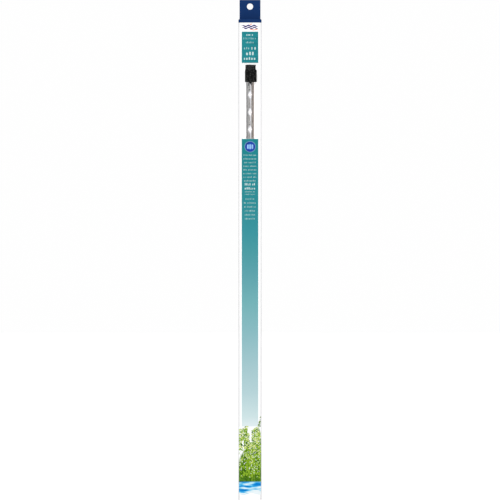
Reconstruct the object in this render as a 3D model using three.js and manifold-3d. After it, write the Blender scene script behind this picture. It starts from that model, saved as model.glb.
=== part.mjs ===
// A slim LED aquarium lamp in its tall hanging window carton.
//
// Millimetres, +Z up. The origin is the centre of the peg hole in the hang tab, on the glue plane of
// the tab's two plies. The printed front of the carton looks towards -Y.

import * as THREE from 'three';
import { mergeVertices } from 'three/addons/utils/BufferGeometryUtils.js';
import Module from 'manifold-3d';

// ---- Carton -------------------------------------------------------------------------------------
const BOARD = 0.6; // paperboard thickness
const CARTON_WIDTH = 36; // across the front
const CARTON_DEPTH = 24; // front to back
const CARTON_TOP = -19.7; // rim of the carton, below the peg hole
const CARTON_LENGTH = 740;
const CARTON_BOTTOM = CARTON_TOP - CARTON_LENGTH;
const BACK_FACE = BOARD; // y of the carton's outer back face
const FRONT_FACE = BACK_FACE - CARTON_DEPTH; // y of the printed front face
const FLAT_GAP = 0.05; // between flat faces that touch in the real carton
const CREASE_GAP = 0.3; // between a panel and the flap that folds on it

const TAB_WIDTH = 32.2;
const TAB_TOP = 10.5;
const TAB_CORNER = 1.0;
const PEG_HOLE_RADIUS = 4.75;

const WINDOW_HALF_WIDTH = 12.5;
const WINDOW_TOP = -87.3;
const WINDOW_BOTTOM = -203.6;
const WINDOW_CORNER = 1.5;
const FILM = 0.25; // window film thickness
const FILM_MARGIN = 3; // glued border of the film round the window

const GLUE_FLAP_WIDTH = 13;
const GLUE_FLAP_SETBACK = 16; // each end stops short of the tuck flaps

// ---- End closures, in a frame whose origin is the lid's crease -------------------------------------
const LID_NEAR = BOARD + CREASE_GAP;
const LID_FAR = CARTON_DEPTH - BOARD - 1.0;
const LID_WIDTH = CARTON_WIDTH - 0.6;
const TUCK_CREASE = [LID_FAR - BOARD, -BOARD]; // inner corner of the lid's free edge
const TUCK_LENGTH = 9;
const TUCK_WIDTH = CARTON_WIDTH - 2 * BOARD - 1.6;
const TUCK_LEAN = THREE.MathUtils.degToRad(10); // leans in from the wall it tucks behind
const TUCK_CORNER = 5;
const DUST_LENGTH = 11; // from the side panel's outer face to the flap's free edge
const DUST_TOP = -BOARD - CREASE_GAP; // the lid rests on the dust flaps
const DUST_FAR = LID_FAR - 1.9; // edge beside the tuck flap

// ---- Lamp -----------------------------------------------------------------------------------------
const LAMP_Y = BACK_FACE - CARTON_DEPTH / 2; // the lamp stands on the carton's centre line
const CAP_TOP = -89.6;
const CAP_NECK_END = -97.3;
const CAP_END = -116.3;
const CAP_NECK_RADIUS = 7.0;
const CAP_RADIUS = 7.8;
const NECK_RIB_REACH = 8.5; // the keying rib on the +X side, measured from the lamp's axis
const CAP_RIB_REACH = 10.4;
const RIB_WIDTH = 7;
const CAP_EDGE = 1.2; // radius of the cap's outer edges
const TONGUE_WIDTH = 6.2;
const TONGUE_LENGTH = 4.7;
const TONGUE_TIP = 2.3; // the point lies towards the rib, off the lamp's axis
const SOCKET_RADIUS = 4.5;
const SOCKET_FLOOR = CAP_TOP - 12;
const CAP_SHOULDER = SOCKET_FLOOR - 3;
const PIN_RADIUS = 1.0;
const PIN_SPACING = 4.4;
const PIN_TOP = SOCKET_FLOOR + 5.6;

const TUBE_RADIUS = 6;
const TUBE_BORE = 5;
const TUBE_FIT = 0.35; // radial play of the tube in its caps
const SEAL = 1.2; // thickness of the flat sealing rings
const TUBE_TOP = CAP_SHOULDER - SEAL - 2 * FLAT_GAP;
const END_CAP_BOTTOM = -744;
const END_CAP_LENGTH = 13;
const END_CAP_RADIUS = 7.2;
const END_CAP_FLOOR = END_CAP_BOTTOM + 3;
const TUBE_END = END_CAP_FLOOR + SEAL + 2 * FLAT_GAP;

const TERMINAL_TOP = TUBE_TOP - 0.6;
const TERMINAL_LENGTH = 7;
const BOARD_TOP = -118.5;
const BOARD_END = TUBE_END + 16;
const BOARD_WIDTH = 7.6;
const BOARD_THICK = 1.0;
const BOARD_FRONT = LAMP_Y; // y of the board's component side
const SPREADER_RADIUS = 4.65;
const LED_COUNT = 22;
const LED_PITCH = 26.7;
const FIRST_LED = -135.8;
const LED_SIZE = 5;
const LED_HEIGHT = 1.5;
const LED_WELL_RADIUS = 1.9;
const LED_WELL_DEPTH = 0.35;
const WIRE_RADIUS = 0.5;

// ---- Foam -----------------------------------------------------------------------------------------
const FOAM_HALF_WIDTH = CARTON_WIDTH / 2 - BOARD - 0.4;
const FOAM_FRONT = FRONT_FACE + BOARD + 0.6;
const FOAM_BACK = -BOARD - 0.4;
const COLLAR_LENGTH = 20;
const COLLAR_TOPS = { foam_collar_upper: -218, foam_collar_middle: -452 };
const COLLAR_BORE = TUBE_RADIUS + 0.35;
const FOOT_TOP = END_CAP_BOTTOM + 9;
const FOOT_STEP = CARTON_BOTTOM + 11.5; // clears the bottom tuck flap
const FOOT_BOTTOM = CARTON_BOTTOM + 1.9;
const FOOT_PLUG_FRONT = FRONT_FACE + 6;
const FOOT_POCKET_RADIUS = END_CAP_RADIUS + 0.5;

const ROUND = 40; // facets round the lamp's turned parts

const wasm = await Module();
wasm.setup();

const assembly = new THREE.Group();
assembly.name = 'aquarium_lamp_carton';

const FINISHES = {
  white_board: { color: 0xf6f6f5, roughness: 0.55 },
  navy_board: { color: 0x193768, roughness: 0.45 },
  window_film: { color: 0xeaf4f6, roughness: 0.08, transparent: true, opacity: 0.25 },
  foam: { color: 0xf1f1ee, roughness: 0.9 },
  clear_acrylic: { color: 0xdfe4e4, roughness: 0.08, transparent: true, opacity: 0.4 },
  aluminium: { color: 0xb8b8b6, roughness: 0.35, metalness: 1 },
  circuit_board: { color: 0xeceae6, roughness: 0.45 },
  led_package: { color: 0xfbf9f0, roughness: 0.4 },
  black_plastic: { color: 0x1d1d1c, roughness: 0.5 },
  terminal_plastic: { color: 0xd9d6cb, roughness: 0.5 },
  pin_brass: { color: 0xc9a24f, roughness: 0.3, metalness: 1 },
  seal_rubber: { color: 0x2b2b2b, roughness: 0.85 },
  red_wire: { color: 0xa81f1a, roughness: 0.5 },
  black_wire: { color: 0x161616, roughness: 0.5 },
};

function add(name, geometry, finish) {
  const mesh = new THREE.Mesh(geometry, new THREE.MeshStandardMaterial(FINISHES[finish]));
  mesh.name = name;
  assembly.add(mesh);
}

// ---- Solids ---------------------------------------------------------------------------------------

function toSolid(geometry) {
  const plain = geometry.clone();
  plain.deleteAttribute('normal');
  plain.deleteAttribute('uv');
  const welded = mergeVertices(plain, 1e-4);
  return new wasm.Manifold(new wasm.Mesh({
    numProp: 3,
    vertProperties: welded.attributes.position.array,
    triVerts: Uint32Array.from(welded.index.array),
  }));
}

function toGeometry(solid) {
  const mesh = solid.getMesh();
  const geometry = new THREE.BufferGeometry();
  geometry.setAttribute('position', new THREE.BufferAttribute(mesh.vertProperties, 3));
  geometry.setIndex(new THREE.BufferAttribute(mesh.triVerts, 1));
  return geometry;
}

function box(x0, x1, y0, y1, z0, z1) {
  const geometry = new THREE.BoxGeometry(x1 - x0, y1 - y0, z1 - z0);
  return geometry.translate((x0 + x1) / 2, (y0 + y1) / 2, (z0 + z1) / 2);
}

function polygon(points) {
  return new THREE.Shape(points.map(([a, b]) => new THREE.Vector2(a, b)));
}

// A rectangle whose corners are rounded by the radii given for its bottom and top corners.
function roundedRectangle(x0, x1, y0, y1, bottom, top = bottom) {
  const shape = new THREE.Shape();
  const arc = (x, y, r, start) => {
    if (r > 0) shape.absarc(x, y, r, start, start + Math.PI / 2);
    else shape.lineTo(x, y);
  };
  shape.moveTo(x0 + bottom, y0);
  arc(x1 - bottom, y0 + bottom, bottom, -Math.PI / 2);
  arc(x1 - top, y1 - top, top, 0);
  arc(x0 + top, y1 - top, top, Math.PI / 2);
  arc(x0 + bottom, y0 + bottom, bottom, Math.PI);
  return shape;
}

function extrude(shape, depth, curveSegments = 5) {
  return new THREE.ExtrudeGeometry(shape, { depth, bevelEnabled: false, curveSegments });
}

// A sheet drawn in X and Z, as thick as asked, whose back face is at yBack.
function upright(shape, thickness, yBack, curveSegments) {
  return extrude(shape, thickness, curveSegments).rotateX(Math.PI / 2).translate(0, yBack, 0);
}

// A column drawn in X and Y about the lamp's axis, between two heights.
function column(shape, z0, z1, curveSegments = ROUND / 4) {
  return extrude(shape, z1 - z0, curveSegments).translate(0, LAMP_Y, z0);
}

// A turned body on the lamp's axis. Its profile is pairs of radius and height.
function turned(profile, facets = ROUND) {
  const points = profile.map(([r, z]) => new THREE.Vector2(r, z));
  return new THREE.LatheGeometry(points, facets).rotateX(Math.PI / 2).translate(0, LAMP_Y, 0);
}

function pipe(inner, outer, z0, z1) {
  return turned([[inner, z0], [outer, z0], [outer, z1], [inner, z1], [inner, z0]]);
}

function rod(radius, z0, z1, x = 0, facets = ROUND) {
  return turned([[0, z0], [radius, z0], [radius, z1], [0, z1]], facets).translate(x, 0, 0);
}

// ---- Carton ---------------------------------------------------------------------------------------

function pegHole() {
  return new THREE.Path().absarc(0, 0, PEG_HOLE_RADIUS, 0, 2 * Math.PI, true);
}

function tabOutline(width, bottom) {
  const shape = roundedRectangle(-width / 2, width / 2, bottom, TAB_TOP, 0, TAB_CORNER);
  shape.holes.push(pegHole());
  return shape;
}

function backPanel() {
  const half = CARTON_WIDTH / 2;
  const panel = box(-half, half, 0, BACK_FACE, CARTON_BOTTOM, CARTON_TOP);
  const tab = upright(tabOutline(TAB_WIDTH, CARTON_TOP - 1), BOARD, BACK_FACE, 10);
  add('back_panel', toGeometry(toSolid(panel).add(toSolid(tab))), 'white_board');
}

function hangTabPly() {
  const shape = tabOutline(TAB_WIDTH, CARTON_TOP + CREASE_GAP);
  add('hang_tab_ply', upright(shape, BOARD, -FLAT_GAP, 10), 'navy_board');
}

function frontPanel() {
  const half = CARTON_WIDTH / 2;
  const shape = roundedRectangle(-half, half, CARTON_BOTTOM, CARTON_TOP, 0);
  shape.holes.push(roundedRectangle(
    -WINDOW_HALF_WIDTH, WINDOW_HALF_WIDTH, WINDOW_BOTTOM, WINDOW_TOP, WINDOW_CORNER));
  add('front_panel', upright(shape, BOARD, FRONT_FACE + BOARD), 'white_board');
}

function sidePanels() {
  const outer = CARTON_WIDTH / 2;
  const inner = outer - BOARD;
  const front = FRONT_FACE + BOARD + FLAT_GAP;
  for (const [name, x0, x1] of [['left_panel', -outer, -inner], ['right_panel', inner, outer]]) {
    add(name, box(x0, x1, front, -FLAT_GAP, CARTON_BOTTOM - DUST_TOP, CARTON_TOP + DUST_TOP),
      'white_board');
  }
}

function glueFlap() {
  const outer = CARTON_WIDTH / 2 - BOARD - FLAT_GAP;
  const inner = outer - GLUE_FLAP_WIDTH;
  const top = CARTON_TOP - GLUE_FLAP_SETBACK;
  const bottom = CARTON_BOTTOM + GLUE_FLAP_SETBACK;
  const shape = polygon([[outer, bottom], [outer, top], [inner, top - GLUE_FLAP_WIDTH / 2],
    [inner, bottom + GLUE_FLAP_WIDTH / 2]]);
  add('glue_flap', upright(shape, BOARD, -FLAT_GAP), 'white_board');
}

function windowFilm() {
  const half = WINDOW_HALF_WIDTH + FILM_MARGIN;
  add('window_film', box(-half, half, FRONT_FACE + BOARD + FLAT_GAP, FRONT_FACE + BOARD + FLAT_GAP + FILM,
    WINDOW_BOTTOM - FILM_MARGIN, WINDOW_TOP + FILM_MARGIN), 'window_film');
}

// The three flaps of one closure, drawn round the lid's crease: the lid reaches along +Y from it.
function lidFlap() {
  return extrude(roundedRectangle(-LID_WIDTH / 2, LID_WIDTH / 2, LID_NEAR, LID_FAR, 0), BOARD)
    .translate(0, 0, -BOARD);
}

function tuckFlap() {
  const shape = roundedRectangle(
    -TUCK_WIDTH / 2, TUCK_WIDTH / 2, -TUCK_LENGTH - CREASE_GAP, -CREASE_GAP, TUCK_CORNER, 0);
  return extrude(shape, BOARD).rotateX(Math.PI / 2).translate(0, BOARD, 0).rotateX(-TUCK_LEAN)
    .translate(0, ...TUCK_CREASE);
}

function dustFlap(side) {
  const root = CARTON_WIDTH / 2 - LID_NEAR;
  const tip = CARTON_WIDTH / 2 - DUST_LENGTH;
  const taperEnd = 1 + DUST_LENGTH;
  const outline = [[root, 1 + LID_NEAR], [root, DUST_FAR], [tip + 1.6, DUST_FAR],
    [tip, DUST_FAR - 1.6], [tip, taperEnd]];
  return extrude(polygon(outline.map(([x, y]) => [side * x, y])), BOARD)
    .translate(0, 0, DUST_TOP - BOARD);
}

function closure(end, place) {
  add(`${end}_lid`, place(lidFlap()), end === 'top' ? 'navy_board' : 'white_board');
  add(`${end}_tuck`, place(tuckFlap()), 'white_board');
  add(`${end}_dust_left`, place(dustFlap(-1)), 'white_board');
  add(`${end}_dust_right`, place(dustFlap(1)), 'white_board');
}

function closures() {
  closure('top', (flap) => flap.translate(0, FRONT_FACE, CARTON_TOP));
  closure('bottom', (flap) => flap.rotateX(Math.PI).translate(0, BACK_FACE, CARTON_BOTTOM));
}

// ---- Foam -----------------------------------------------------------------------------------------

function foamCollars() {
  for (const [name, top] of Object.entries(COLLAR_TOPS)) {
    const block = box(-FOAM_HALF_WIDTH, FOAM_HALF_WIDTH, FOAM_FRONT, FOAM_BACK,
      top - COLLAR_LENGTH, top);
    const bore = rod(COLLAR_BORE, top - COLLAR_LENGTH - 1, top + 1);
    add(name, toGeometry(toSolid(block).subtract(toSolid(bore))), 'foam');
  }
}

// The foot fills the carton above the bottom tuck flap and narrows behind it.
function foamFoot() {
  const block = box(-FOAM_HALF_WIDTH, FOAM_HALF_WIDTH, FOAM_FRONT, FOAM_BACK, FOOT_STEP, FOOT_TOP);
  const plug = box(-FOAM_HALF_WIDTH, FOAM_HALF_WIDTH, FOOT_PLUG_FRONT, FOAM_BACK,
    FOOT_BOTTOM, FOOT_STEP + 1);
  const pocket = rod(FOOT_POCKET_RADIUS, END_CAP_BOTTOM - FLAT_GAP, FOOT_TOP + 1);
  add('foam_foot', toGeometry(toSolid(block).add(toSolid(plug)).subtract(toSolid(pocket))), 'foam');
}

// ---- Lamp -----------------------------------------------------------------------------------------

// A round section with a keying rib on its +X side.
function keyedSection(radius, reach) {
  const half = RIB_WIDTH / 2;
  const start = Math.asin(half / radius);
  const shape = new THREE.Shape();
  shape.absarc(0, 0, radius, start, 2 * Math.PI - start);
  shape.lineTo(reach - 1, -half);
  shape.lineTo(reach, 1 - half);
  shape.lineTo(reach, half - 1);
  shape.lineTo(reach - 1, half);
  return shape;
}

// A length of a keyed section with rounded edges at both ends.
function keyedLength(radius, reach, z0, z1) {
  const geometry = new THREE.ExtrudeGeometry(keyedSection(radius, reach), {
    depth: z1 - z0 - 2 * CAP_EDGE,
    bevelThickness: CAP_EDGE,
    bevelSize: CAP_EDGE,
    bevelOffset: -CAP_EDGE,
    bevelSegments: 3,
    curveSegments: ROUND,
  });
  return toSolid(geometry.translate(0, LAMP_Y, z0 + CAP_EDGE));
}

// A pointed tongue that lies on the front of the tube below the cap.
function capTongue() {
  const half = TONGUE_WIDTH / 2;
  const wedge = polygon([[-half, CAP_END + 1], [-half, CAP_END], [TONGUE_TIP, CAP_END - TONGUE_LENGTH],
    [half, CAP_END], [half, CAP_END + 1]]);
  const shell = pipe(TUBE_RADIUS + TUBE_FIT, CAP_RADIUS - 0.5, CAP_END - TONGUE_LENGTH - 1, CAP_END + 2);
  return toSolid(upright(wedge, CAP_RADIUS, LAMP_Y)).intersect(toSolid(shell));
}

function connectorCap() {
  let cap = keyedLength(CAP_NECK_RADIUS, NECK_RIB_REACH, CAP_NECK_END - 4, CAP_TOP)
    .add(keyedLength(CAP_RADIUS, CAP_RIB_REACH, CAP_END, CAP_NECK_END))
    .add(capTongue());
  const cuts = [
    rod(SOCKET_RADIUS, SOCKET_FLOOR, CAP_TOP + 1),
    rod(TUBE_RADIUS + TUBE_FIT, CAP_END - TONGUE_LENGTH - 1, CAP_SHOULDER),
    rod(PIN_RADIUS + CREASE_GAP, CAP_SHOULDER - 1, SOCKET_FLOOR + 1, -PIN_SPACING / 2, 20),
    rod(PIN_RADIUS + CREASE_GAP, CAP_SHOULDER - 1, SOCKET_FLOOR + 1, PIN_SPACING / 2, 20),
  ];
  for (const cut of cuts) cap = cap.subtract(toSolid(cut));
  add('connector_cap', toGeometry(cap), 'black_plastic');
}

function contactPins() {
  for (const [name, side] of [['contact_pin_left', -1], ['contact_pin_right', 1]]) {
    const pin = turned([[0, TERMINAL_TOP + FLAT_GAP], [PIN_RADIUS, TERMINAL_TOP + FLAT_GAP],
      [PIN_RADIUS, PIN_TOP - 0.5], [PIN_RADIUS - 0.5, PIN_TOP], [0, PIN_TOP]], 20);
    add(name, pin.translate(side * PIN_SPACING / 2, 0, 0), 'pin_brass');
  }
}

function sealRings() {
  const inner = TUBE_BORE - 0.5;
  const outer = TUBE_RADIUS;
  add('seal_ring_upper', pipe(inner, outer, CAP_SHOULDER - FLAT_GAP - SEAL, CAP_SHOULDER - FLAT_GAP),
    'seal_rubber');
  add('seal_ring_lower', pipe(inner, outer, END_CAP_FLOOR + FLAT_GAP, END_CAP_FLOOR + FLAT_GAP + SEAL),
    'seal_rubber');
}

function lightTube() {
  add('light_tube', pipe(TUBE_BORE, TUBE_RADIUS, TUBE_END, TUBE_TOP), 'clear_acrylic');
}

function endCap() {
  const top = END_CAP_BOTTOM + END_CAP_LENGTH;
  const bore = TUBE_RADIUS + TUBE_FIT;
  add('end_cap', turned([[0, END_CAP_BOTTOM], [END_CAP_RADIUS - 1, END_CAP_BOTTOM],
    [END_CAP_RADIUS, END_CAP_BOTTOM + 1], [END_CAP_RADIUS, top - 0.4], [END_CAP_RADIUS - 0.4, top],
    [bore, top], [bore, END_CAP_FLOOR], [0, END_CAP_FLOOR]]), 'black_plastic');
}

function terminalBlock() {
  const half = PIN_SPACING / 2 + 1.4;
  add('terminal_block', box(-half, half, LAMP_Y - 2.4, LAMP_Y + 2.4,
    TERMINAL_TOP - TERMINAL_LENGTH, TERMINAL_TOP), 'terminal_plastic');
}

function leadWires() {
  const start = TERMINAL_TOP - TERMINAL_LENGTH - FLAT_GAP;
  for (const [name, side, finish] of [['lead_wire_red', 1, 'red_wire'], ['lead_wire_black', -1, 'black_wire']]) {
    const path = new THREE.CatmullRomCurve3([
      new THREE.Vector3(side * 1.6, LAMP_Y - 1.2, start),
      new THREE.Vector3(side * 1.7, LAMP_Y - 1.3, start - 1.8),
      new THREE.Vector3(side * 2.3, LAMP_Y - 1.2, BOARD_TOP - 1),
      new THREE.Vector3(side * 2.3, LAMP_Y - 1.0, BOARD_TOP - 3.5),
    ]);
    const section = new THREE.Shape().absarc(0, 0, WIRE_RADIUS, 0, 2 * Math.PI);
    add(name, new THREE.ExtrudeGeometry(section, { steps: 12, curveSegments: 10, extrudePath: path }), finish);
  }
}

function ledBoard() {
  add('led_board', box(-BOARD_WIDTH / 2, BOARD_WIDTH / 2, BOARD_FRONT, BOARD_FRONT + BOARD_THICK,
    BOARD_END, BOARD_TOP), 'circuit_board');
}

// A flat-faced bar behind the board that carries its heat along the tube.
function heatSpreader() {
  const flat = BOARD_THICK + FLAT_GAP;
  const start = Math.asin(flat / SPREADER_RADIUS);
  const shape = new THREE.Shape().absarc(0, 0, SPREADER_RADIUS, start, Math.PI - start);
  add('heat_spreader', column(shape, BOARD_END - 2, BOARD_TOP + 1, 14), 'aluminium');
}

function ledPackages() {
  const half = LED_SIZE / 2;
  const body = upright(roundedRectangle(-half, half, -half, half, 0.5), LED_HEIGHT,
    BOARD_FRONT - FLAT_GAP, 2);
  const wellFloor = BOARD_FRONT - FLAT_GAP - LED_HEIGHT + LED_WELL_DEPTH;
  const well = extrude(new THREE.Shape().absarc(0, 0, LED_WELL_RADIUS, 0, 2 * Math.PI), 1, 10)
    .rotateX(Math.PI / 2).translate(0, wellFloor, 0);
  const led = toGeometry(toSolid(body).subtract(toSolid(well)));
  for (let i = 0; i < LED_COUNT; i += 1) {
    const name = `led_${String(i + 1).padStart(2, '0')}`;
    add(name, led.clone().translate(0, 0, FIRST_LED - i * LED_PITCH), 'led_package');
  }
}

backPanel();
hangTabPly();
frontPanel();
sidePanels();
glueFlap();
windowFilm();
closures();
foamCollars();
foamFoot();
connectorCap();
contactPins();
sealRings();
lightTube();
endCap();
terminalBlock();
leadWires();
ledBoard();
heatSpreader();
ledPackages();

export default assembly;
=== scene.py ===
"""Looks for a slim aquarium lamp in its tall hanging window carton.

Metres, +Z up, the printed front towards -Y. The origin is the centre of the peg hole.
"""

import math
import random

import bmesh
import bpy
from mathutils import Matrix, Vector


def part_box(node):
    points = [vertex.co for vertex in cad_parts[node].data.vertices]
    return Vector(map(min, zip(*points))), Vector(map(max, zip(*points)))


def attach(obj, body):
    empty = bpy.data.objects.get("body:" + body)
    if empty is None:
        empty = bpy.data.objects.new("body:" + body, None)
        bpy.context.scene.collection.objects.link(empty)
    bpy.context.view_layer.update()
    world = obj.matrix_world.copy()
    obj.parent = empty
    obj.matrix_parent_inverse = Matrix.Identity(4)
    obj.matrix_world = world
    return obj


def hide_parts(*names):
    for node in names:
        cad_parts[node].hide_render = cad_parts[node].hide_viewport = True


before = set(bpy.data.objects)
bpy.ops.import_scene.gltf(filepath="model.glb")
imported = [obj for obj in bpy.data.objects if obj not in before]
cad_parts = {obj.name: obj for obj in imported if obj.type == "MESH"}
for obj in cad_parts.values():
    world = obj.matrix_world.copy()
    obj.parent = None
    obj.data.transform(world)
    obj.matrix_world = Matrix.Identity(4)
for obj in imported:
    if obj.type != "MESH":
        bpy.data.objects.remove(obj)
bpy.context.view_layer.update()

MM = 0.001
FRONT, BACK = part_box("front_panel")[0].y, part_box("back_panel")[1].y
CARTON_LOW, CARTON_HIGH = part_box("front_panel")[0].z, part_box("front_panel")[1].z
TAB_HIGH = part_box("back_panel")[1].z
HALF_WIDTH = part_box("front_panel")[1].x
HALF_DEPTH = (BACK - FRONT) / 2
MIDDLE_Y = (BACK + FRONT) / 2
BOARD = 0.6 * MM
RECESS = 0.2 * MM  # the carton's skin lies this far inside its box, so that the prints stay in it
WINDOW = (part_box("window_film")[0].z + 3 * MM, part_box("window_film")[1].z - 3 * MM)
WINDOW_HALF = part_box("window_film")[1].x - 3 * MM
TAB_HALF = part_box("hang_tab_ply")[1].x
PEG_RADIUS = 4.75 * MM
FOLD_RADIUS = 0.9 * MM
TAB_CORNER = 1.0 * MM
TAB_TRIM = 0.05 * MM  # the tab's top edge lies this far inside its box
MARGIN = 1.0 * MM  # the printed plants and water stop this far from the folds
BAND_LOW = -25.0 * MM  # lower edge of the navy band round the carton's rim
LABEL_HALF = 12.7 * MM
LOWER_LABEL_END = -664 * MM
PLANTS = (-733.5 * MM, -646 * MM)
WATER = (-750 * MM, -731 * MM)
LED_FIRST = (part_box("led_01")[0].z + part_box("led_01")[1].z) / 2
LED_PITCH = LED_FIRST - (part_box("led_02")[0].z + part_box("led_02")[1].z) / 2
LED_COUNT = 22
BOARD_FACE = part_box("led_board")[0].y
CHIP_RISE = 7.7 * MM  # each resistor's place above the middle of its light-emitting package
CAP_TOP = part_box("connector_cap")[1].z
CAP_STEP = CAP_TOP - 7.7 * MM  # where the cap's neck meets its wider skirt
SKIRT_LOW = CAP_TOP - 26.7 * MM
CAP_EASE = 1.2 * MM  # the soft edge of the cap's moulding
TUBE_RADIUS, TUBE_BORE = 6.0 * MM, 5.0 * MM
CAP_BORE = 6.35 * MM  # of both caps and the foam rings, a loose fit on the tube
MERGE = 1e-6  # vertices nearer than this are one


# ---- Shader maths ----

class Number:
    """A shader socket in a sum: each operator adds one Math node."""

    def __init__(self, finish, socket):
        self.finish, self.socket = finish, socket

    def math(self, operation, *values):
        return self.finish.node("ShaderNodeMath", {"operation": operation}, dict(enumerate(values)))

    def __add__(self, other):
        return self.math("ADD", self, other)

    def __radd__(self, other):
        return self.math("ADD", other, self)

    def __sub__(self, other):
        return self.math("SUBTRACT", self, other)

    def __rsub__(self, other):
        return self.math("SUBTRACT", other, self)

    def __mul__(self, other):
        return self.math("MULTIPLY", self, other)

    def __rmul__(self, other):
        return self.math("MULTIPLY", other, self)

    def __truediv__(self, other):
        return self.math("DIVIDE", self, other)

    def __gt__(self, other):
        return self.math("GREATER_THAN", self, other)

    def __lt__(self, other):
        return self.math("LESS_THAN", self, other)

    def __mod__(self, other):
        return self.math("FLOORED_MODULO", self, other)

    def __abs__(self):
        return self.math("ABSOLUTE", self)

    def ramp(self, low, high, start=0.0, end=1.0):
        """Goes from start to end, held at both, as the number goes from low to high."""
        settings = {"clamp": True}
        values = {0: self, 1: low, 2: high, 3: start, 4: end}
        return self.finish.node("ShaderNodeMapRange", settings, values)


class Finish:
    """One material: its nodes, and the surface they feed."""

    def __init__(self, name):
        self.material = bpy.data.materials.new(name)
        self.material.use_nodes = True
        self.tree = self.material.node_tree
        self.tree.nodes.clear()
        self.output = self.tree.nodes.new("ShaderNodeOutputMaterial")
        self.where = self.node("ShaderNodeTexCoord", output="Object")
        self.x = self.node("ShaderNodeSeparateXYZ", sockets={0: self.where}, output=0)
        source = self.x.socket.node
        self.y, self.z = Number(self, source.outputs[1]), Number(self, source.outputs[2])

    def node(self, kind, settings=None, sockets=None, output=0):
        made = self.tree.nodes.new(kind)
        for key, value in (settings or {}).items():
            if key == "stops":
                self.set_stops(made.color_ramp, value)
            else:
                setattr(made, key, value)
        for key, value in (sockets or {}).items():
            if isinstance(value, Number):
                self.tree.links.new(value.socket, made.inputs[key])
            else:
                made.inputs[key].default_value = value
        return Number(self, made.outputs[output])

    @staticmethod
    def set_stops(ramp, stops):
        while len(ramp.elements) < len(stops):
            ramp.elements.new(1.0)
        for element, (place, colour) in zip(ramp.elements, stops):
            element.position, element.color = place, rgba(colour)

    def mix(self, factor, a, b):
        """Colour a where the factor is 0 and b where it is 1."""
        a, b = (c if isinstance(c, Number) else rgba(c) for c in (a, b))
        return self.node("ShaderNodeMix", {"data_type": "RGBA"}, {0: factor, 6: a, 7: b}, output=2)

    def stretched(self, x, y, z):
        return self.node("ShaderNodeMapping", sockets={0: self.where, 3: (x, y, z)})

    def noise(self, scale, detail=3.0, vector=None, roughness=0.5):
        values = {"Vector": vector or self.where, "Scale": scale, "Detail": detail, "Roughness": roughness}
        return self.node("ShaderNodeTexNoise", sockets=values)

    def bump(self, height, strength, distance):
        values = {"Height": height, "Strength": strength, "Distance": distance}
        return self.node("ShaderNodeBump", sockets=values)

    def surface(self, colour, roughness, **constants):
        """Ends the material in a Principled surface. A constant's name has _ for each space."""
        colour = colour if isinstance(colour, Number) else rgba(colour)
        values = {"Base Color": colour, "Roughness": roughness}
        for key, value in constants.items():
            values[key.replace("_", " ")] = value
        shader = self.node("ShaderNodeBsdfPrincipled", sockets=values)
        self.tree.links.new(shader.socket, self.output.inputs["Surface"])
        return self.material


def hypotenuse(across, up):
    """The distance that two offsets at right angles make together."""
    squares = across * across + up * up
    return squares.math("SQRT", squares)


def rgba(colour):
    return (*colour[:3], colour[3] if len(colour) > 3 else 1.0)


def srgb(r, g, b):
    """The ink that shows as this screen colour under the studio's light, its slight sheen allowed for."""
    def light(v):
        v /= 255
        seen = v / 12.92 if v <= 0.04045 else ((v + 0.055) / 1.055) ** 2.4
        return max(seen - SHEEN, 0.0004) / STUDIO_LIGHT
    return (light(r), light(g), light(b))


# ---- Printed colours ----

STUDIO_LIGHT = 1.40  # light on the front, where 1 would show a surface in its own colour
SHEEN = 0.003  # light that matt ink returns without colouring it
PRINT_GLOSS = 0.05  # specular level of matt ink
WHITE = (0.80, 0.80, 0.797)
NAVY = srgb(25, 55, 106)
PALE_INK = srgb(172, 208, 210)
SMALL_INK = srgb(178, 211, 209)
WHITE_INK = srgb(208, 230, 230)
BADGE_BLUE = srgb(36, 62, 160)
BADGE_PALE = srgb(160, 206, 252)
RING_INK = srgb(120, 160, 200)
INK_ORANGE = srgb(238, 150, 118)
INK_VIOLET = srgb(66, 54, 122)


# ---- Finishes: in each, f is the finish being made ----

def board_grain(f, strength=0.12):
    """The faint mottle and fibre of coated paperboard."""
    fibre = f.noise(900, 4, f.stretched(1, 1, 0.35))
    mottle = f.noise(70, 2)
    return f.bump(fibre * 0.6 + mottle * 0.4, strength, 0.00005), mottle


def outer_print():
    """Coated outside of the carton: white with a navy band round the rim, and a faint rub on the folds.

    The white greys towards the front's two long folds: painted shade, standing in for the shade on the
    rounded folds.
    """
    f = Finish("coated_board_outside")
    bump, mottle = board_grain(f)
    white = f.mix(mottle * 0.35, WHITE, tuple(0.985 * c for c in WHITE))
    rub = f.noise(260, 4) * (abs(f.x) > HALF_WIDTH - 0.5 * MM) * 0.10
    # Painted shade: the front's white turns grey within 2.5 mm of its two long folds.
    inset = HALF_WIDTH - abs(f.x)
    fold_shade_ramp = inset.ramp(1.0 * MM, 2.1 * MM, 1.0, 0.45) * (inset < 2.5 * MM)
    painted_fold_shade = fold_shade_ramp * (f.y < FRONT + 0.7 * MM)
    white = f.mix(painted_fold_shade, white, (0.56, 0.56, 0.57))
    printed = f.mix((f.z > BAND_LOW) * (1 - rub), white, NAVY)
    return f.surface(printed, mottle * 0.10 + 0.62, Normal=bump, Specular_IOR_Level=PRINT_GLOSS)


def inner_board():
    """Uncoated inside of the board, a little warmer and rougher, glowing with painted light that stands in
    for the lit lamp's light on it.
    """
    f = Finish("plain_board_inside")
    bump, mottle = board_grain(f, 0.3)
    # Painted light: the inside glows evenly, fading out within 40 mm of the carton's ends.
    painted_light_reach = (CARTON_HIGH - 6 * MM - f.z).ramp(0, 40 * MM) * (f.z - CARTON_LOW).ramp(0, 40 * MM)
    glow = f.mix(painted_light_reach, (0, 0, 0), (0.34, 0.34, 0.345))
    pulp = f.mix(mottle, (0.88, 0.875, 0.865), (0.84, 0.835, 0.82))
    return f.surface(pulp, 0.85, Normal=bump, Emission_Color=glow, Emission_Strength=1.0)


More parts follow.
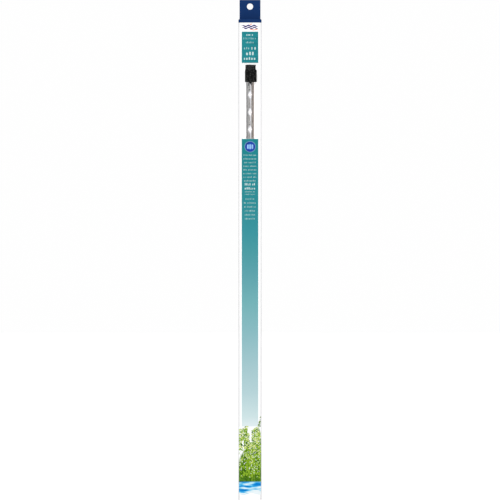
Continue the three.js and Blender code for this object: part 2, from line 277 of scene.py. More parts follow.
def cut_board():
    """The cut edge of the board: fine layers of pale pulp."""
    f = Finish("cut_board_edge")
    layers = f.noise(2600, 3, f.stretched(1, 1, 0.1))
    pulp = f.mix(layers, (0.78, 0.76, 0.71), (0.88, 0.87, 0.84))
    return f.surface(pulp, 0.9, Normal=f.bump(layers, 0.4, 0.00006))


def flap_board():
    """Plain coated board, as on the tuck and dust flaps."""
    f = Finish("flap_board")
    bump, mottle = board_grain(f, 0.2)
    pulp = f.mix(mottle, (0.89, 0.885, 0.875), (0.86, 0.855, 0.84))
    return f.surface(pulp, mottle * 0.2 + 0.55, Normal=bump)


def navy_print(name, white_below=None):
    """Navy ink on board. Below the height given the board is left white, as on a lid's underside."""
    f = Finish(name)
    bump, mottle = board_grain(f)
    ink = f.mix(mottle * 0.5, NAVY, tuple(1.12 * c for c in NAVY))
    if white_below is not None:
        ink = f.mix(f.z > white_below, (0.88, 0.875, 0.86), ink)
    return f.surface(ink, mottle * 0.12 + 0.64, Normal=bump, Specular_IOR_Level=PRINT_GLOSS)


def ink(name, colour, variation=0.06):
    """A flat printed colour with the slight unevenness of an offset print."""
    f = Finish(name)
    patches = f.noise(160, 3)
    thin, full = (tuple(share * c for c in colour) for share in (1 - variation, 1 + variation))
    tone = f.mix(patches, thin, full)
    return f.surface(tone, patches * 0.1 + 0.64, Specular_IOR_Level=PRINT_GLOSS)


def fading_teal():
    """The long label: teal at the top, paling evenly to almost white above the plants."""
    f = Finish("fading_teal_label")
    tones = [(-661, (250, 252, 253)), (-646, (226, 238, 241)), (-632, (206, 227, 229)),
             (-594, (182, 211, 216)), (-548, (162, 199, 205)), (-502, (138, 187, 194)),
             (-455, (116, 178, 183)), (-409, (92, 162, 171)), (-378, (76, 156, 163)),
             (-347, (60, 148, 158)), (-305, (47, 141, 149)), (-204, (34, 134, 142))]
    low, high = LOWER_LABEL_END / MM, WINDOW[0] / MM
    height = f.z.ramp(LOWER_LABEL_END, WINDOW[0])
    stops = [((z - low) / (high - low), srgb(*tone)) for z, tone in tones]
    uneven = (f.noise(45, 3) - 0.5) * 0.012
    teal = f.node("ShaderNodeValToRGB", {"stops": stops}, {0: height + uneven})
    return f.surface(teal, 0.68, Specular_IOR_Level=PRINT_GLOSS)


def plant_haze():
    """Foliage out of focus behind the printed plants, thinning to bare white towards their tips."""
    f = Finish("printed_plant_haze")
    height = f.z.ramp(PLANTS[0], PLANTS[1])
    patch = f.noise(240, 4, f.stretched(1.0, 1.0, 0.6))
    deep = f.mix(height.ramp(0.0, 0.35), srgb(46, 98, 44), srgb(78, 118, 34))
    fresh = f.mix(height.ramp(0.12, 0.40), srgb(118, 158, 60), srgb(166, 198, 84))
    green = f.mix(patch.ramp(0.38, 0.64), deep, fresh)
    bare = (height * 1.5 + (patch - 0.5) * 2.4).ramp(0.55, 1.0)
    pale = f.mix(f.noise(120, 2), srgb(244, 249, 249), WHITE)
    return f.surface(f.mix(bare, green, pale), 0.68, Specular_IOR_Level=PRINT_GLOSS)


def leaf_ink(name, dark, light):
    f = Finish(name)
    patches = f.noise(420, 3)
    tone = f.mix(patches.ramp(0.35, 0.65), srgb(*dark), srgb(*light))
    return f.surface(tone, 0.68, Specular_IOR_Level=PRINT_GLOSS)


def water_ink():
    """Printed water: deep blue under the plants, broken by foam and thinning to pale ripples."""
    f = Finish("printed_water")
    drift = f.noise(60, 2) - 0.5
    across = f.node("ShaderNodeMapping", sockets={0: f.where, 2: (0, 0.25, 0), 3: (0.22, 0.22, 1.5)})
    streak = f.noise(260, 3, across, 0.45) + drift * 0.3
    height = f.z.ramp(WATER[0], WATER[1])
    stops = [(0.0, srgb(0, 96, 156)), (0.42, srgb(2, 132, 214)), (0.50, srgb(66, 182, 236)),
             (0.57, srgb(160, 220, 244)), (0.68, srgb(236, 246, 250))]
    depth = streak + 0.035 + (0.62 - height) * 0.28
    tone = f.node("ShaderNodeValToRGB", {"stops": stops}, {0: depth})
    return f.surface(tone, 0.68, Specular_IOR_Level=PRINT_GLOSS)


def film():
    """Clear film: all but unseen straight on, with a sheen where it is seen aslant."""
    f = Finish("window_film")
    ripple = f.noise(40, 2, f.stretched(1, 1, 0.3))
    aslant = f.node("ShaderNodeLayerWeight", sockets={0: 0.5}, output="Facing")
    haze = aslant.ramp(0.12, 0.9, 0.003, 0.25)
    bump = f.bump(ripple, 0.12, 0.0004)
    return f.surface((0.90, 0.93, 0.94), 0.08, Alpha=haze, IOR=1.45, Normal=bump)


def clear_tube():
    """Extruded tube: clear in the middle, greyer where the wall is seen along its length, its colour turning
    a darker brown towards +X as painted shade.
    """
    f = Finish("clear_tube")
    edge = f.node("ShaderNodeLayerWeight", sockets={0: 0.5}, output="Facing")
    drawn = f.noise(900, 2, f.stretched(1, 1, 0.02))
    # Painted shade: the grey turns a darker brown from 2 mm left of the axis to 3 mm right of it.
    tint_and_painted_shade = f.mix(f.x.ramp(-2 * MM, 3 * MM), (0.25, 0.25, 0.26), (0.17, 0.105, 0.07))
    wall = edge.ramp(0.25, 0.55, 0.08, 0.80)
    bump = f.bump(drawn, 0.08, 0.0001)
    return f.surface(tint_and_painted_shade, 0.07, Alpha=wall, IOR=1.49, Specular_IOR_Level=0.3, Normal=bump)


def moulded_black():
    """Satin black moulding with a fine spark-eroded texture, lighter in random worn patches and, as a painted
    highlight, on the cap's neck.
    """
    f = Finish("moulded_black")
    grain, wear = f.noise(3200, 3), f.noise(220, 3)
    # Painted highlight: the moulding is lighter above the step from skirt to neck; random patches are lighter
    # as wear.
    neck = (f.z - CAP_STEP + 1 * MM).ramp(0, 1.5 * MM)
    wear_and_painted_highlight = (wear.ramp(0.45, 0.8) * 0.35 + neck * 0.6).ramp(0, 1)
    tone = f.mix(wear_and_painted_highlight, (0.0008, 0.0008, 0.0006), (0.016, 0.0155, 0.0155))
    bump = f.bump(grain, 0.25, 0.00004)
    return f.surface(tone, wear * 0.2 + 0.52, Normal=bump, Specular_IOR_Level=0.045)


def from_led(f):
    """Height above or below the nearest light-emitting package, from minus to plus half the pitch."""
    return (f.z - LED_FIRST + LED_PITCH / 2) % LED_PITCH - LED_PITCH / 2


def board_glow(f, rise):
    """Light thrown on the board: a pointed patch round each package, and a bright streak on one side."""
    patch = (1.0 - (abs(f.x - 0.1 * MM) / (4.1 * MM) + abs(rise) / (7.6 * MM))).ramp(0.0, 0.5)
    streak = (1.0 - abs(f.x - 0.85 * MM) / (1.25 * MM)).ramp(0.0, 0.7)
    fading = (rise + 16 * MM).ramp(0, 20 * MM, 1.0, 0.55)
    return (patch + streak * fading * 0.62).ramp(0.0, 1.0)


def circuit_board():
    """White solder mask with two buried tracks, pads beside each package, and the package's light on it."""
    f = Finish("circuit_board")
    rise = from_led(f)
    track = (abs(f.x + 0.75 * MM) < 0.8 * MM) + (abs(abs(f.x) - 3.5 * MM) < 0.35 * MM)
    pad = (abs(abs(rise) - 3.4 * MM) < 0.5 * MM) * (abs(abs(f.x) - 1.5 * MM) < 0.6 * MM)
    mask = f.mix(track.ramp(0, 1), (0.34, 0.335, 0.325), (0.26, 0.255, 0.25))
    tinned = f.mix(pad, mask, (0.50, 0.50, 0.51))
    glow = f.mix(board_glow(f, rise), (0, 0, 0), (0.80, 0.81, 0.90))
    spots = f.noise(800, 2)
    return f.surface(tinned, spots * 0.15 + 0.3, Emission_Color=glow, Emission_Strength=1.0,
                     Specular_IOR_Level=0.3)


def led_package():
    """White moulded case round a glowing lens."""
    f = Finish("led_package")
    rise = from_led(f)
    lens = 1.0 - hypotenuse(f.x, rise).ramp(1.75 * MM, 1.95 * MM)
    case = f.mix(lens, (0.62, 0.61, 0.63), (0.70, 0.67, 0.45))
    glow = f.mix(lens, (0.16, 0.15, 0.19), (0.92, 0.89, 0.98))
    return f.surface(case, 0.35, Emission_Color=glow, Emission_Strength=1.0)


def drawn_aluminium():
    """Bare metal with fine lines along its length."""
    f = Finish("drawn_aluminium")
    lines = f.noise(2500, 3, f.stretched(1, 1, 0.01))
    metal = f.mix(lines, (0.30, 0.295, 0.285), (0.42, 0.41, 0.40))
    return f.surface(metal, lines * 0.2 + 0.3, Metallic=0.85, Normal=f.bump(lines, 0.2, 0.00005))


def packing_foam():
    """Closed-cell packing foam: shallow cells, slightly darker in their bottoms as painted shade."""
    f = Finish("packing_foam")
    cells = f.node("ShaderNodeTexVoronoi", sockets={"Vector": f.where, "Scale": 700})
    # Painted shade: each cell is darker towards its middle, its lowest point.
    shade = f.mix(cells.ramp(0.1, 0.6), (0.70, 0.70, 0.68), (0.87, 0.87, 0.855))
    return f.surface(shade, 0.95, Normal=f.bump(cells, 0.6, 0.0002))


def rubber():
    """Matt black rubber."""
    f = Finish("seal_rubber")
    grain = f.noise(1800, 3)
    tone = f.mix(grain, (0.012, 0.012, 0.012), (0.028, 0.028, 0.028))
    return f.surface(tone, 0.75, Normal=f.bump(grain, 0.3, 0.00005))


def brass():
    """Brass with the fine rings that turning leaves."""
    f = Finish("turned_brass")
    rings = f.noise(3000, 2, f.stretched(0.05, 0.05, 1))
    metal = f.mix(rings, (0.55, 0.38, 0.13), (0.72, 0.53, 0.22))
    return f.surface(metal, rings * 0.15 + 0.2, Metallic=1.0)


def moulded(name, dark, light, roughness):
    """A plain plastic with a fine grain."""
    f = Finish(name)
    grain = f.noise(1500, 3)
    tone = f.mix(grain, dark, light)
    return f.surface(tone, grain * 0.15 + roughness, Normal=f.bump(grain, 0.15, 0.00004))


def chip_resistor():
    """A small black chip between two tinned ends, the same above each light-emitting package."""
    f = Finish("chip_resistor")
    along = ((f.z - LED_FIRST - CHIP_RISE + LED_PITCH / 2) % LED_PITCH) - LED_PITCH / 2
    ends = abs(along) > 1.2 * MM
    grain = f.noise(2000, 2)
    return f.surface(f.mix(ends, (0.012, 0.012, 0.014), (0.5, 0.5, 0.51)), grain * 0.2 + 0.25, Metallic=ends)


# ---- Building with bmesh ----

def make_piece(name, bm, body, slot, *finishes, smooth=None):
    """Turns a finished bmesh into a piece that rides on a body."""
    mesh = bpy.data.meshes.new(name)
    bm.to_mesh(mesh)
    bm.free()
    for finish in finishes:
        mesh.materials.append(finish)
    piece = bpy.data.objects.new(name, mesh)
    bpy.context.scene.collection.objects.link(piece)
    if smooth is not None:
        mesh.shade_smooth()
        mesh.set_sharp_from_angle(angle=math.radians(smooth))
    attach(piece, body)
    return piece


def thicken(piece, thickness):
    """Gives a sheet its thickness inwards, with its second finish inside and its third on cut edges."""
    solid = piece.modifiers.new("board", "SOLIDIFY")
    solid.thickness, solid.offset, solid.use_even_offset = thickness, -1.0, True
    solid.material_offset, solid.material_offset_rim = 1, 2


def crush_edges(piece):
    """Rounds a foam block's sharp edges, and leaves the facets of its bore alone."""
    bevel = piece.modifiers.new("crushed_edges", "BEVEL")
    bevel.width, bevel.segments, bevel.limit_method = 0.5 * MM, 3, "ANGLE"
    bevel.angle_limit, bevel.harden_normals = math.radians(60), False


def shift(bm, verts, x=0.0, y=0.0, z=0.0):
    bmesh.ops.translate(bm, verts=list(verts), vec=(x, y, z))


def stand_up(bm, verts):
    """Turns what was made in the XY plane up into the XZ plane, its top towards -Y."""
    bmesh.ops.rotate(bm, verts=list(verts), matrix=Matrix.Rotation(math.pi / 2, 3, "X"))


def moved(made):
    """The vertices in what an extrusion made."""
    return [g for g in made["geom"] if isinstance(g, bmesh.types.BMVert)]


def edges_of(verts):
    """The edges that meet at some vertices, each once and always in the same order."""
    return list(dict.fromkeys(e for v in verts for e in v.link_edges))


def bevelled(bm, geom, offset, segments, affect="EDGES"):
    return bmesh.ops.bevel(bm, geom=geom, offset=offset, offset_type="OFFSET", segments=segments,
                           profile=0.5, affect=affect, material=-1)


def trim(bm, at, outward):
    """Cuts off all that lies beyond a plane."""
    everything = [*bm.verts, *bm.edges, *bm.faces]
    bmesh.ops.bisect_plane(bm, geom=everything, plane_co=at, plane_no=outward, clear_outer=True)


def rectangle(bm, x0, x1, z0, z1, y=0.0, corner=0.0, segments=4):
    """One face in the XZ plane that looks towards -Y, with its corners rounded."""
    made = bmesh.ops.create_grid(bm, x_segments=1, y_segments=1, size=0.5)["verts"]
    bmesh.ops.scale(bm, verts=made, vec=(x1 - x0, z1 - z0, 1))
    stand_up(bm, made)
    shift(bm, made, (x0 + x1) / 2, y, (z0 + z1) / 2)
    face = made[0].link_faces[0]
    if corner:
        limit = 0.499 * min(x1 - x0, z1 - z0)
        rounded = bevelled(bm, made, min(corner, limit), segments, "VERTICES")
        face = rounded["verts"][0].link_faces[0]
    return face


def oval(bm, x, z, half_width, half_height, turn=0.0, y=0.0, sides=10):
    """One oval face in the XZ plane that looks towards -Y, turned about its centre."""
    made = bmesh.ops.create_circle(bm, cap_ends=True, segments=sides, radius=1.0)["verts"]
    bmesh.ops.scale(bm, verts=made, vec=(half_width, half_height, 1))
    bmesh.ops.rotate(bm, verts=made, matrix=Matrix.Rotation(turn, 3, "Z"))
    stand_up(bm, made)
    shift(bm, made, x, y, z)


def wave(bm, x0, x1, z, height, swing, turns):
    """A stroke that rises and falls along X, with its ends drawn to a point."""
    made = bmesh.ops.create_grid(bm, x_segments=48, y_segments=1, size=0.5)["verts"]
    stand_up(bm, made)
    for v in made:
        along = v.co.x + 0.5
        swell = max(min(1.0, 6 * along, 6 * (1 - along)), 0.12)
        v.co.z = z + v.co.z * height * swell + swing * math.sin(2 * math.pi * turns * along)
        v.co.x, v.co.y = x0 + (x1 - x0) * along, 0


def turned(profile, steps):
    """A closed body of revolution about the lamp's axis, from pairs of radius and height."""
    bm = bmesh.new()
    corners = [bm.verts.new((r, 0, z)) for r, z in profile]
    edges = [bm.edges.new((a, b)) for a, b in zip(corners, corners[1:] + corners[:1])
             if max(a.co.x, b.co.x) > MERGE]
    bmesh.ops.spin(bm, geom=corners + edges, cent=(0, 0, 0), axis=(0, 0, 1), angle=2 * math.pi,
                   steps=steps, use_merge=True)
    bmesh.ops.remove_doubles(bm, verts=bm.verts, dist=MERGE)
    bmesh.ops.recalc_face_normals(bm, faces=bm.faces)
    shift(bm, bm.verts, y=MIDDLE_Y)
    return bm


def rounded_steps(corners, radius):
    """A turned profile's corners, each cut to a short arc, for a moulding's soft edges."""
    segments = 4
    out = []
    for i in range(len(corners)):
        here, before, after = (Vector(corners[j % len(corners)]) for j in (i, i - 1, i + 1))
        if here.x < MERGE:
            out.append(tuple(here))
            continue
        cut = min(radius, 0.45 * (before - here).length, 0.45 * (after - here).length)
        a, b = here + (before - here).normalized() * cut, here + (after - here).normalized() * cut
        for s in range(segments + 1):
            t = s / segments
            out.append(tuple((1 - t) ** 2 * a + 2 * t * (1 - t) * here + t * t * b))
    return out


# ---- Prints ----

SIDES = {"front": (0.0, HALF_DEPTH), "right": (90.0, HALF_WIDTH), "back": (180.0, HALF_DEPTH),
         "left": (270.0, HALF_WIDTH)}
LAYER = 0.024 * MM  # how far each layer of a print stands over the one under it
INK_FILM = 0.004 * MM


def printed(name, bm, finish, side="front", level=1):
    """Lays flat faces drawn in XZ on one side of the carton as a thin closed film of ink."""
    turn, reach = SIDES[side]
    for face in bm.faces:
        if face.normal.y > 0:
            face.normal_flip()
    bmesh.ops.solidify(bm, geom=list(bm.faces), thickness=INK_FILM)
    shift(bm, bm.verts, y=RECESS - reach - level * LAYER)
    bmesh.ops.rotate(bm, verts=bm.verts, matrix=Matrix.Rotation(math.radians(turn), 3, "Z"))
    shift(bm, bm.verts, y=MIDDLE_Y)
    bmesh.ops.recalc_face_normals(bm, faces=bm.faces)
    make_piece(name, bm, "carton", "white_board", finish)


def mock_line(bm, rng, x0, x1, z, height, bold=False):
    """A line of small blocks, in word-like groups, that stands for a line of print."""
    parts = []
    room = (x1 - x0) / height
    while sum(parts) + 0.4 * len(parts) < room * 1.15 or len(parts) < 2:
        parts.append(rng.uniform(0.35, 0.6))
    gaps = [0.16 + (0.42 if rng.random() < 0.16 else 0.0) for _ in parts]
    scale = room / (sum(parts) + sum(gaps[:-1]))
    x = x0
    for width, gap in zip(parts, gaps):
        wide, high = width * scale * height, rng.choice((0.30, 0.30, 0.5)) * height
        block = wide * (0.78 if bold else 0.62)
        rectangle(bm, x, x + block, z - 0.32 * height, z + high, corner=0.3 * block, segments=2)
        x += wide + gap * scale * height


def mock_paragraph(bm, rng, top, lines, pitch, height, half_width, bold=False, ragged=0.15):
    for i in range(lines):
        reach = half_width * (1 - ragged * rng.random())
        mock_line(bm, rng, -reach, reach, top - i * pitch, height, bold)


# ---- Carton ----

def peg_hole(bm, y):
    """Draws the peg hole's outline and gives its edges."""
    made = bmesh.ops.create_circle(bm, cap_ends=False, segments=64, radius=PEG_RADIUS)["verts"]
    stand_up(bm, made)
    shift(bm, made, y=y)
    return edges_of(made)


def fill(bm, edges, towards):
    """Fills a flat outline and its holes, all facing one way."""
    made = bmesh.ops.triangle_fill(bm, use_beauty=True, use_dissolve=False, edges=edges, normal=towards)
    faces = [g for g in made["geom"] if isinstance(g, bmesh.types.BMFace)]
    for face in faces:
        if face.normal.dot(Vector(towards)) < 0:
            face.normal_flip()
    return faces


def on_plane(items, y):
    """The edges or faces that lie in the plane at this Y."""
    return [i for i in items if all(abs(v.co.y - y) < 0.02 * MM for v in i.verts)]


def folded_shell(half_x, half_y):
    """Four walls with rounded folds, open at both ends. The side panels stop short, under the dust flaps."""
    drop = 0.9 * MM
    bm = bmesh.new()
    made = bmesh.ops.create_cube(bm, size=2.0)["verts"]
    bmesh.ops.scale(bm, verts=made, vec=(half_x, half_y, (CARTON_HIGH - CARTON_LOW) / 2))
    shift(bm, made, y=MIDDLE_Y, z=(CARTON_HIGH + CARTON_LOW) / 2)
    bmesh.ops.delete(bm, geom=[f for f in bm.faces if abs(f.normal.z) > 0.5], context="FACES")
    folds = [e for e in bm.edges if abs(e.verts[0].co.z - e.verts[1].co.z) > 100 * MM]
    bevelled(bm, folds, FOLD_RADIUS, 5)
    for height, way in ((CARTON_HIGH - drop, 1), (CARTON_LOW + drop, -1)):
        sides = [f for f in bm.faces if abs(f.normal.y) < 0.99]
        verts = list(dict.fromkeys(v for f in sides for v in f.verts))
        edges = list(dict.fromkeys(e for f in sides for e in f.edges))
        bmesh.ops.bisect_plane(bm, geom=sides + edges + verts, plane_co=(0, 0, height), plane_no=(0, 0, way))
        sides = [f for f in bm.faces if abs(f.normal.y) < 0.99]
        beyond = [f for f in sides if (f.calc_center_median().z - height) * way > 0]
        bmesh.ops.delete(bm, geom=beyond, context="FACES")
    return bm


def front_with_window(bm, y):
    """Fills the front panel round its window."""
    outline = on_plane(bm.edges, y)
    window = rectangle(bm, -WINDOW_HALF, WINDOW_HALF, *WINDOW, y=y, corner=1.5 * MM)
    cut = list(window.edges)
    bmesh.ops.delete(bm, geom=[window], context="FACES_ONLY")
    fill(bm, outline + cut, (0, -1, 0))


def back_with_tab(bm, y):
    """Fills the back panel and the hang tab above it in one face, round the peg hole."""
    outline = on_plane(bm.edges, y)
    rim = [e for e in outline if all(abs(v.co.z - CARTON_HIGH) < 0.01 * MM for v in e.verts)]
    outline = [e for e in outline if e not in rim]
    rim_ends = sorted(dict.fromkeys(v for e in rim for v in e.verts), key=lambda v: v.co.x)
    bmesh.ops.delete(bm, geom=rim, context="EDGES")
    tab = rectangle(bm, -TAB_HALF, TAB_HALF, CARTON_HIGH, TAB_HIGH - TAB_TRIM, y=y)
    high = [v for v in tab.verts if v.co.z > CARTON_HIGH + MM]
    low = sorted((v for v in tab.verts if v.co.z < CARTON_HIGH + MM), key=lambda v: v.co.x)
    bevelled(bm, high, TAB_CORNER, 4, "VERTICES")
    tab = low[0].link_faces[0]
    root = next(e for e in tab.edges if set(e.verts) == set(low))
    outline += [e for e in tab.edges if e is not root]
    bmesh.ops.delete(bm, geom=[tab], context="FACES_ONLY")
    bmesh.ops.delete(bm, geom=[root], context="EDGES")
    outline += [bm.edges.new((rim_ends[0], low[0])), bm.edges.new((low[1], rim_ends[-1]))]
    fill(bm, outline + peg_hole(bm, y), (0, 1, 0))


def carton_sleeve(outside, inside, edge):
    """The folded and glued sleeve: four panels, the window, and the tab on the back panel."""
    half_x, half_y = HALF_WIDTH - RECESS, HALF_DEPTH - RECESS
    front_y, back_y = MIDDLE_Y - half_y, MIDDLE_Y + half_y
    bm = folded_shell(half_x, half_y)
    flats = on_plane(bm.faces, front_y) + on_plane(bm.faces, back_y)
    bmesh.ops.delete(bm, geom=flats, context="FACES_ONLY")
    front_with_window(bm, front_y)
    back_with_tab(bm, back_y)
    bmesh.ops.remove_doubles(bm, verts=bm.verts, dist=MERGE)
    sleeve = make_piece("carton_sleeve", bm, "carton", "white_board", outside, inside, edge, smooth=30)
    thicken(sleeve, BOARD - RECESS)
    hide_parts("front_panel", "back_panel", "left_panel", "right_panel")


def tab_ply(navy, inside, edge):
    """The hang tab's second ply, glued to the front of the first, with the peg hole through it."""
    low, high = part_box("hang_tab_ply")
    bm = bmesh.new()
    face = rectangle(bm, low.x, high.x, low.z, high.z - TAB_TRIM, y=low.y)
    bevelled(bm, [v for v in face.verts if v.co.z > 0], TAB_CORNER, 4, "VERTICES")
    outline = list(bm.edges)
    bmesh.ops.delete(bm, geom=list(bm.faces), context="FACES_ONLY")
    fill(bm, outline + peg_hole(bm, low.y), (0, -1, 0))
    ply = make_piece("hang_tab_front_ply", bm, "carton", "navy_board", navy, inside, edge)
    thicken(ply, high.y - low.y)
    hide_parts("hang_tab_ply")


def wave_mark(side):
    """A generic mark in place of a maker's: two dark ripples, a warm one, and a warm spot above."""
    z = -31.8 * MM
    bm = bmesh.new()
    wave(bm, -13.4 * MM, 13.0 * MM, z + 1.7 * MM, 2.2 * MM, 0.9 * MM, 3.0)
    wave(bm, -13.0 * MM, 13.4 * MM, z - 1.4 * MM, 1.9 * MM, 0.9 * MM, 3.0)
    printed(f"mark_ripples_{side}", bm, ink("mark_violet", INK_VIOLET), side=side)
    bm = bmesh.new()
    wave(bm, -1.0 * MM, 12.6 * MM, z - 4.0 * MM, 1.4 * MM, 0.5 * MM, 1.5)
    oval(bm, 1.4 * MM, z + 4.4 * MM, 2.2 * MM, 0.8 * MM, 0.25, sides=24)
    printed(f"mark_warm_ripple_{side}", bm, ink("mark_warm", INK_ORANGE), side=side, level=2)


def upper_label():
    """The teal label above the window, with small and bold lines."""
    bm = bmesh.new()
    rectangle(bm, -LABEL_HALF, LABEL_HALF, -86.9 * MM, -38.8 * MM, corner=0.4 * MM)
    printed("upper_label", bm, ink("teal_label", srgb(40, 139, 147), 0.05))
    rng = random.Random(7)
    bm = bmesh.new()
    mock_line(bm, rng, -9.9 * MM, 9.2 * MM, -49.6 * MM, 3.6 * MM)
    mock_line(bm, rng, -6.2 * MM, 6.0 * MM, -55.6 * MM, 3.4 * MM)
    mock_line(bm, rng, -9.2 * MM, -0.6 * MM, -64.7 * MM, 4.2 * MM)
    printed("upper_label_small_lines", bm, ink("pale_ink", PALE_INK), level=2)
    bm = bmesh.new()
    mock_line(bm, rng, -5.4 * MM, 4.6 * MM, -44.0 * MM, 4.2 * MM, bold=True)
    mock_line(bm, rng, 2.2 * MM, 9.4 * MM, -64.5 * MM, 6.6 * MM, bold=True)
    mock_line(bm, rng, -6.0 * MM, 6.4 * MM, -73.0 * MM, 6.4 * MM, bold=True)
    mock_line(bm, rng, -9.4 * MM, 9.0 * MM, -80.6 * MM, 5.0 * MM, bold=True)
    printed("upper_label_bold_lines", bm, ink("white_ink", WHITE_INK), level=2)


def lower_label(fading):
    """The long fading label below the window, with three paragraphs and a bold heading."""
    bm = bmesh.new()
    rectangle(bm, -LABEL_HALF, LABEL_HALF, LOWER_LABEL_END, WINDOW[0] - 0.2 * MM)
    printed("lower_label", bm, fading)
    rng = random.Random(11)
    bm = bmesh.new()
    mock_paragraph(bm, rng, -229 * MM, 8, 5.63 * MM, 3.0 * MM, 10.3 * MM)
    mock_paragraph(bm, rng, -285.2 * MM, 2, 4.0 * MM, 2.3 * MM, 8.2 * MM)
    mock_paragraph(bm, rng, -296.3 * MM, 6, 6.1 * MM, 3.0 * MM, 9.6 * MM, ragged=0.35)
    printed("lower_label_small_lines", bm, ink("pale_ink_small", SMALL_INK), level=2)
    bm = bmesh.new()
    mock_paragraph(bm, rng, -274 * MM, 2, 6.3 * MM, 4.4 * MM, 8.4 * MM, bold=True, ragged=0.05)
    printed("lower_label_bold_lines", bm, ink("white_ink_bold", WHITE_INK), level=2)


def side_label(side, half, top, seed, fading):
    """A long fading label with one column of small print, for a face other than the front."""
    bm = bmesh.new()
    rectangle(bm, -half, half, LOWER_LABEL_END, top)
    printed(f"label_{side}", bm, fading, side=side)
    rng = random.Random(seed)
    bm = bmesh.new()
    mock_paragraph(bm, rng, top - 14 * MM, 2, 6.2 * MM, 4.2 * MM, 0.78 * half, bold=True, ragged=0.1)
    printed(f"label_bold_lines_{side}", bm, ink("white_ink_" + side, WHITE_INK), side=side, level=2)
    bm = bmesh.new()
    for block in range(3):
        start = top - (34 + 62 * block) * MM
        mock_paragraph(bm, rng, start, 8, 5.6 * MM, 2.7 * MM, 0.85 * half, ragged=0.3)
    printed(f"label_small_lines_{side}", bm, ink("pale_ink_" + side, SMALL_INK), side=side, level=2)


def bar_block():
    """A plain white panel of upright bars on the back, near the foot of the label."""
    bm = bmesh.new()
    rectangle(bm, -11 * MM, 11 * MM, -590 * MM, -560 * MM, corner=0.8 * MM)
    printed("bar_panel", bm, ink("panel_white", WHITE), side="back", level=2)
    rng = random.Random(5)
    bm = bmesh.new()
    x = -9 * MM
    while x < 9 * MM:
        wide = rng.choice((0.3, 0.3, 0.6, 0.9)) * MM
        rectangle(bm, x, x + wide, -587 * MM, -563 * MM)
        x += wide + rng.choice((0.3, 0.45, 0.8)) * MM
    printed("bar_panel_bars", bm, ink("bar_black", srgb(30, 30, 32)), side="back", level=3)


def badge():
    """A round badge with three upright lamps, in place of a lettered one."""
    x, z = 0.2 * MM, -215.8 * MM
    bm = bmesh.new()
    oval(bm, x, z, 8.7 * MM, 8.7 * MM, sides=64)
    printed("badge_ring", bm, ink("badge_ring_ink", RING_INK), level=2)
    bm = bmesh.new()
    oval(bm, x, z, 7.8 * MM, 7.8 * MM, sides=64)
    f = Finish("badge_blue_ink")
    blue = f.mix(hypotenuse(f.x - x, f.z - z).ramp(2 * MM, 7.9 * MM), srgb(40, 92, 196), BADGE_BLUE)
    printed("badge_disc", bm, f.surface(blue, 0.64, Specular_IOR_Level=PRINT_GLOSS), level=3)
    bm = bmesh.new()
    for i in (-1, 0, 1):
        middle, half, tall = x + 3.4 * i * MM, 1.25 * MM, (3.9 - 0.5 * abs(i)) * MM
        rectangle(bm, middle - half, middle + half, z - tall, z + tall, corner=1.2 * MM)
    printed("badge_lamps", bm, ink("badge_pale_ink", BADGE_PALE), level=4)


# ---- Printed plants and water ----

# For each stem, in mm: its place across the front, its lowest and highest leaf above the water, its lean,
# and the spread of its leaves.
FRONT_STEMS = ((-14.8, 10, 34, -0.4, 2.7), (-14.2, 52, 84, -0.6, 2.5), (-11.2, 10, 40, 0.6, 2.5),
               (-10.8, 66, 85, 0.4, 2.4), (-6.8, 12, 87, 0.6, 2.9), (-3.2, 8, 78, 0.4, 2.5),
               (0.6, 8, 62, 0.8, 2.6), (4.6, 10, 82, 0.4, 2.5), (8.2, 12, 86, 0.8, 2.8),
               (12.4, 10, 82, 0.8, 2.7), (15.6, 24, 80, -1.0, 2.3), (12.4, 82, 96, 2.4, 1.4),
               (14.6, 88, 103, 1.8, 1.2))
SPRIG = 1.6 * MM  # a stem with less spread than this is a dark sprig above the rest


def leaf_depth(rng):
    """A depth of its own for each leaf, so that no two share a plane."""
    return -rng.uniform(0, 0.8) * LAYER


def stem_leaves(layers, rng, x, low, high, lean, spread):
    """A stem with small rounded leaves on both sides, and a few pale flecks beside it.

    The leaves go into the dark, middle and light layers at random, with more dark ones near the ground.
    """
    z = low
    while z < high:
        share = (z - low) / (high - low)
        rise = (z - PLANTS[0]) / (PLANTS[1] - PLANTS[0]) if spread > SPRIG else 0.1
        along = x + lean * share + rng.uniform(-0.3, 0.3) * MM
        for way in (-1, 1):
            layer = layers[min(2, int(rng.random() * min(2.8, 1.15 + 2.4 * rise)))]
            size = rng.uniform(0.6, 1.1) * spread * (1 - 0.2 * share)
            turn = way * math.radians(rng.uniform(20, 80))
            oval(layer, along + way * size * 0.7, z + rng.uniform(-0.6, 1.0) * MM, size * 0.45, size, turn,
                 y=leaf_depth(rng))
        if rng.random() < 0.3:
            oval(layers[3], along + rng.uniform(-2.6, 2.6) * MM, z, rng.uniform(0.35, 0.6) * MM,
                 rng.uniform(0.6, 1.1) * MM, rng.uniform(-1.2, 1.2), y=leaf_depth(rng), sides=8)
        z += rng.uniform(1.3, 2.3) * MM


